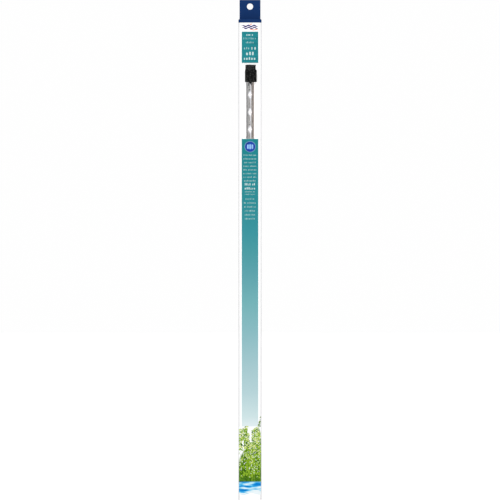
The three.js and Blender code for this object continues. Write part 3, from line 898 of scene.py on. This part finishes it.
def plants(side, half, seed, stems, haze, leaves):
    """Leafy stems over tall grass, printed across one side of the carton."""
    rng = random.Random(seed)
    layers = [bmesh.new() for _ in range(4)]
    x = -half + 0.6 * MM
    while x < half - 0.4 * MM:
        height = rng.uniform(13, 38) * MM
        layer = layers[rng.choice((0, 0, 0, 0, 0, 1))]
        oval(layer, x, PLANTS[0] + height / 2, rng.uniform(0.3, 0.55) * MM, height / 2,
             math.radians(rng.uniform(-5, 5)), y=leaf_depth(rng), sides=8)
        x += rng.uniform(0.4, 0.8) * MM
    for x, low, high, lean, spread in stems:
        stem_leaves(layers, rng, x * MM, PLANTS[0] + low * MM, PLANTS[0] + high * MM, lean * MM, spread * MM)
    back = bmesh.new()
    rectangle(back, -half, half, PLANTS[0], PLANTS[1])
    printed(f"plant_haze_{side}", back, haze, side=side, level=2)
    names = ("dark", "middle", "light", "flecks")
    for level, (name, layer, finish) in enumerate(zip(names, layers, leaves), start=3):
        trim(layer, (-half, 0, 0), (-1, 0, 0))
        trim(layer, (half, 0, 0), (1, 0, 0))
        trim(layer, (0, 0, PLANTS[0]), (0, 0, -1))
        printed(f"plants_{name}_{side}", layer, finish, side=side, level=level)


def water(side, half, finish):
    """A band of water under the plants, with an uneven lower edge."""
    bm = bmesh.new()
    made = bmesh.ops.create_grid(bm, x_segments=24, y_segments=4, size=0.5)["verts"]
    stand_up(bm, made)
    for v in made:
        across, up = v.co.x, v.co.z + 0.5
        edge = WATER[0] + 1.2 * MM * math.sin(9 * across + 1) + 1.0 * MM * across
        v.co.x, v.co.z = 2 * across * (half - 0.1 * MM), edge + (WATER[1] - edge) * up
    printed(f"water_{side}", bm, finish, side=side, level=7)


# ---- Lamp ----

def light_tube(finish):
    """The clear tube, with its outer edges eased."""
    low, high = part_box("light_tube")
    ease = 0.12 * MM
    bm = turned([(TUBE_BORE, low.z), (TUBE_RADIUS - ease, low.z), (TUBE_RADIUS, low.z + ease),
                 (TUBE_RADIUS, high.z - ease), (TUBE_RADIUS - ease, high.z), (TUBE_BORE, high.z)], 72)
    tube = make_piece("lamp_tube", bm, "lamp", "clear_acrylic", finish, smooth=35)
    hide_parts("light_tube")


def connector_cap(finish):
    """Neck and skirt in one moulding, open at both ends, with a wall across the middle."""
    neck, skirt, socket = 7.15 * MM, 7.8 * MM, 4.5 * MM
    shoulder, floor = CAP_TOP - 15 * MM, CAP_TOP - 12 * MM
    profile = rounded_steps([(socket, CAP_TOP), (neck, CAP_TOP), (neck, CAP_STEP), (skirt, CAP_STEP),
                             (skirt, SKIRT_LOW), (CAP_BORE, SKIRT_LOW), (CAP_BORE, shoulder), (0.0, shoulder),
                             (0.0, floor), (socket, floor)], CAP_EASE)
    cap = make_piece("connector_cap_body", turned(profile, 72), "lamp", "black_plastic", finish, smooth=40)
    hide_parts("connector_cap")


def cap_rib(finish):
    """The keying rib along the right of the cap, deeper on the skirt than on the neck."""
    inner = 6.5 * MM
    bm = bmesh.new()
    for low, high, reach in ((CAP_STEP - 2 * MM, CAP_TOP, 8.8 * MM), (SKIRT_LOW, CAP_STEP, 10.4 * MM)):
        made = bmesh.ops.create_cube(bm, size=1.0)["verts"]
        bmesh.ops.scale(bm, verts=made, vec=(reach - inner, 7 * MM, high - low))
        shift(bm, made, (reach + inner) / 2, MIDDLE_Y, (low + high) / 2)
    bevelled(bm, list(bm.edges), CAP_EASE, 4)
    make_piece("connector_cap_rib", bm, "lamp", "black_plastic", finish, smooth=40)


def cap_tongue(finish):
    """The pointed tongue of the cap, bent round the front of the tube."""
    top, length, bend, thickness = SKIRT_LOW + 0.5 * MM, 5.1 * MM, 6.45 * MM, 0.75 * MM
    half_root, tip = 0.46, 0.36  # angles round the tube, the tip's towards the rib
    bm = bmesh.new()
    made = bmesh.ops.create_grid(bm, x_segments=12, y_segments=6, size=0.5)["verts"]
    stand_up(bm, made)
    for v in made:
        down = 0.5 - v.co.z
        around = v.co.x * 2 * half_root * (1 - down) + tip * down
        v.co = Vector((bend * math.sin(around), MIDDLE_Y - bend * math.cos(around), top - down * length))
    bmesh.ops.remove_doubles(bm, verts=bm.verts, dist=10 * MERGE)
    bmesh.ops.recalc_face_normals(bm, faces=bm.faces)
    if sum(f.normal.y for f in bm.faces) > 0:
        bmesh.ops.reverse_faces(bm, faces=bm.faces)
    bmesh.ops.solidify(bm, geom=list(bm.faces), thickness=-thickness)
    bmesh.ops.recalc_face_normals(bm, faces=bm.faces)
    make_piece("connector_cap_tongue", bm, "lamp", "black_plastic", finish, smooth=40)


def end_cap(finish):
    """The plain closed cap on the tube's lower end."""
    low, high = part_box("end_cap")
    radius, floor = 7.2 * MM, low.z + 3 * MM
    profile = rounded_steps([(0.0, low.z), (radius, low.z), (radius, high.z), (CAP_BORE, high.z),
                             (CAP_BORE, floor), (0.0, floor)], 0.8 * MM)
    cap = make_piece("lamp_end_cap", turned(profile, 64), "lamp", "black_plastic", finish, smooth=40)
    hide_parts("end_cap")


def resistors(finish):
    """The small dark chip above each light-emitting package."""
    bm = bmesh.new()
    for i in range(LED_COUNT):
        made = bmesh.ops.create_cube(bm, size=1.0)["verts"]
        bmesh.ops.scale(bm, verts=made, vec=(1.9 * MM, 0.5 * MM, 3.2 * MM))
        shift(bm, made, -0.8 * MM, BOARD_FACE - 0.27 * MM, LED_FIRST - i * LED_PITCH + CHIP_RISE)
    bevelled(bm, list(bm.edges), 0.08 * MM, 2)
    make_piece("board_resistors", bm, "lamp", "circuit_board", finish)


# ---- Foam ----

def holed_top(bm, low, high, radius):
    """A foam block's top face round a hole on the lamp's axis. Gives the outline, the hole and the faces."""
    rectangle(bm, low.x, high.x, low.y, high.y)
    bmesh.ops.rotate(bm, verts=bm.verts, matrix=Matrix.Rotation(-math.pi / 2, 3, "X"))
    shift(bm, bm.verts, z=high.z)
    outline = list(bm.edges)
    bmesh.ops.delete(bm, geom=list(bm.faces), context="FACES_ONLY")
    ring = bmesh.ops.create_circle(bm, cap_ends=False, segments=48, radius=radius)["verts"]
    shift(bm, ring, y=MIDDLE_Y, z=high.z)
    hole = edges_of(ring)
    return outline, hole, fill(bm, outline + hole, (0, 0, 1))


def foam_piece(name, bm, body, finish, node):
    """Closed-cell packing foam, crushed a little along its edges."""
    bmesh.ops.recalc_face_normals(bm, faces=bm.faces)
    piece = make_piece(name, bm, body, "foam", finish)
    crush_edges(piece)
    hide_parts(node)


def foam_rings(finish):
    """The two blocks that hold the lamp's tube in the middle of the carton."""
    for place in ("upper", "middle"):
        node = f"foam_collar_{place}"
        low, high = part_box(node)
        bm = bmesh.new()
        faces = holed_top(bm, low, high, CAP_BORE)[2]
        made = bmesh.ops.extrude_face_region(bm, geom=faces)
        shift(bm, moved(made), z=low.z - high.z)
        foam_piece(f"foam_ring_{place}", bm, "lamp", finish, node)


def foam_foot(finish):
    """The block in the carton's foot: a pocket for the lower cap, and a plug behind the tuck flap."""
    low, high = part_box("foam_foot")
    step, plug_front = CARTON_LOW + 11.5 * MM, FRONT + 6 * MM
    pocket_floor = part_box("end_cap")[0].z - 0.05 * MM
    bm = bmesh.new()
    outline, pocket, _ = holed_top(bm, low, high, 7.7 * MM)
    floors = []
    for loop, floor in ((outline, step), (pocket, pocket_floor)):
        made = bmesh.ops.extrude_edge_only(bm, edges=loop)
        shift(bm, moved(made), z=floor - high.z)
        rim = [g for g in made["geom"] if isinstance(g, bmesh.types.BMEdge)]
        floors.append(bmesh.ops.contextual_create(bm, geom=rim)["faces"][0])
    under = floors[0]
    geom = [under, *under.edges, *under.verts]
    bmesh.ops.bisect_plane(bm, geom=geom, plane_co=(0, plug_front, 0), plane_no=(0, 1, 0))
    behind = [f for f in bm.faces if all(v.co.y > plug_front - MERGE for v in f.verts)]
    plug = [f for f in behind if all(abs(v.co.z - step) < MERGE for v in f.verts)]
    made = bmesh.ops.extrude_face_region(bm, geom=plug)
    shift(bm, moved(made), z=low.z - step)
    bmesh.ops.delete(bm, geom=[f for f in plug if f.is_valid], context="FACES_ONLY")
    bmesh.ops.remove_doubles(bm, verts=bm.verts, dist=MERGE)
    foam_piece("foam_foot_block", bm, "carton", finish, "foam_foot")


# ---- Carried-over CAD nodes ----

def refinish(names, material):
    for name in names:
        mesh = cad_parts[name].data
        mesh.materials.clear()
        mesh.materials.append(material)


def carried_over(inside):
    """Finishes for the CAD's own shapes that are kept."""
    refinish(["top_lid"], navy_print("navy_lid", white_below=CARTON_HIGH - 0.05 * MM))
    refinish(["top_tuck", "top_dust_left", "top_dust_right", "bottom_lid", "bottom_tuck",
              "bottom_dust_left", "bottom_dust_right"], flap_board())
    refinish(["glue_flap"], inside)
    refinish(["window_film"], film())
    refinish(["led_board"], circuit_board())
    refinish(["heat_spreader"], drawn_aluminium())
    refinish([f"led_{i + 1:02d}" for i in range(LED_COUNT)], led_package())
    refinish(["seal_ring_upper", "seal_ring_lower"], rubber())
    refinish(["contact_pin_left", "contact_pin_right"], brass())
    plastics = {"terminal_block": ("cream_terminal", (0.55, 0.53, 0.47), (0.66, 0.64, 0.58), 0.4),
                "lead_wire_red": ("red_insulation", (0.075, 0.010, 0.009), (0.11, 0.014, 0.012), 0.35),
                "lead_wire_black": ("black_insulation", (0.007, 0.007, 0.007), (0.014, 0.014, 0.014), 0.35)}
    for node, look in plastics.items():
        refinish([node], moulded(*look))


# ---- Studio ----

SUNS = (("key", (0.03, 1.0, -0.12), 1.0, 16), ("top", (-0.25, 0.45, -1.0), 0.5, 40))
FLOOR_GAP = 42 * MM  # the pack hangs clear of the floor, with room for the lower lid to open


def studio():
    """Even white surroundings, a soft light on the front and a broader one from above."""
    scene = bpy.context.scene
    scene.view_settings.view_transform = "Standard"
    world = bpy.data.worlds.new("studio_white")
    world.use_nodes = True
    surroundings = world.node_tree.nodes["Background"]
    surroundings.inputs[0].default_value, surroundings.inputs[1].default_value = (1, 1, 1, 1), 0.995
    scene.world = world
    for name, aim, strength, softness in SUNS:
        light = bpy.data.lights.new(name, "SUN")
        light.energy, light.angle = strength, math.radians(softness)
        lamp = bpy.data.objects.new(name, light)
        lamp.rotation_euler = Vector(aim).to_track_quat("-Z", "Y").to_euler()
        scene.collection.objects.link(lamp)
    bm = bmesh.new()
    bmesh.ops.create_circle(bm, cap_ends=True, segments=96, radius=60.0)
    shift(bm, bm.verts, z=CARTON_LOW - FLOOR_GAP)
    mesh = bpy.data.meshes.new("floor")
    bm.to_mesh(mesh)
    bm.free()
    floor = bpy.data.objects.new("floor", mesh)
    f = Finish("pale_floor")
    pale = f.mix(f.noise(3, 2), (0.93, 0.93, 0.93), (0.94, 0.94, 0.94))
    mesh.materials.append(f.surface(pale, 0.8))
    scene.collection.objects.link(floor)


def camera():
    """Straight at the front, far off with a long lens, with the carton from the tab to the foot in view.

    The view's upper and lower edges lie just inside the tab's and the foot's.
    """
    lens = bpy.data.cameras.new("front_camera")
    lens.lens, lens.sensor_width = 1200.0, 36.0
    trimmed, lowered = 1.2 * MM, 0.1 * MM
    seen = TAB_HIGH - CARTON_LOW - trimmed
    away = seen / 2 * lens.lens / (lens.sensor_width / 2)
    view = bpy.data.objects.new("front_camera", lens)
    view.location = (0, FRONT - away, (TAB_HIGH + CARTON_LOW) / 2 - lowered)
    view.rotation_euler = (math.pi / 2, 0, 0)
    lens.clip_start, lens.clip_end = 0.5, 120.0
    bpy.context.scene.collection.objects.link(view)
    bpy.context.scene.camera = view


# ---- The whole pack ----

camera()
studio()
inside_finish, edge_finish, black_finish = inner_board(), cut_board(), moulded_black()
carton_sleeve(outer_print(), inside_finish, edge_finish)
tab_ply(navy_print("navy_tab"), inside_finish, edge_finish)
fading_finish = fading_teal()
for face in ("front", "back"):
    wave_mark(face)
upper_label()
lower_label(fading_finish)
badge()
haze_finish, water_finish = plant_haze(), water_ink()
leaf_finishes = (leaf_ink("leaf_dark", (54, 94, 14), (92, 138, 34)),
                 leaf_ink("leaf_middle", (122, 166, 34), (158, 194, 58)),
                 leaf_ink("leaf_light", (182, 208, 68), (224, 234, 146)),
                 leaf_ink("leaf_flecks", (234, 242, 216), (250, 252, 244)))
plants("front", HALF_WIDTH - MARGIN, 3, FRONT_STEMS, haze_finish, leaf_finishes)
water("front", HALF_WIDTH - MARGIN, water_finish)
for face, half, seed in (("right", HALF_DEPTH - MARGIN, 4), ("back", HALF_WIDTH - MARGIN, 5),
                         ("left", HALF_DEPTH - MARGIN, 6)):
    stems = [stem for stem in FRONT_STEMS if abs(stem[0]) < half / MM - 0.5 and stem[1] < 80]
    plants(face, half, seed, stems, haze_finish, leaf_finishes)
    water(face, half, water_finish)
side_label("right", 8.0 * MM, -46 * MM, 21, fading_finish)
side_label("left", 8.0 * MM, -46 * MM, 22, fading_finish)
side_label("back", LABEL_HALF, -42 * MM, 23, fading_finish)
bar_block()
light_tube(clear_tube())
connector_cap(black_finish)
cap_rib(black_finish)
cap_tongue(black_finish)
end_cap(black_finish)
resistors(chip_resistor())
foam_finish = packing_foam()
foam_rings(foam_finish)
foam_foot(foam_finish)
carried_over(inside_finish)
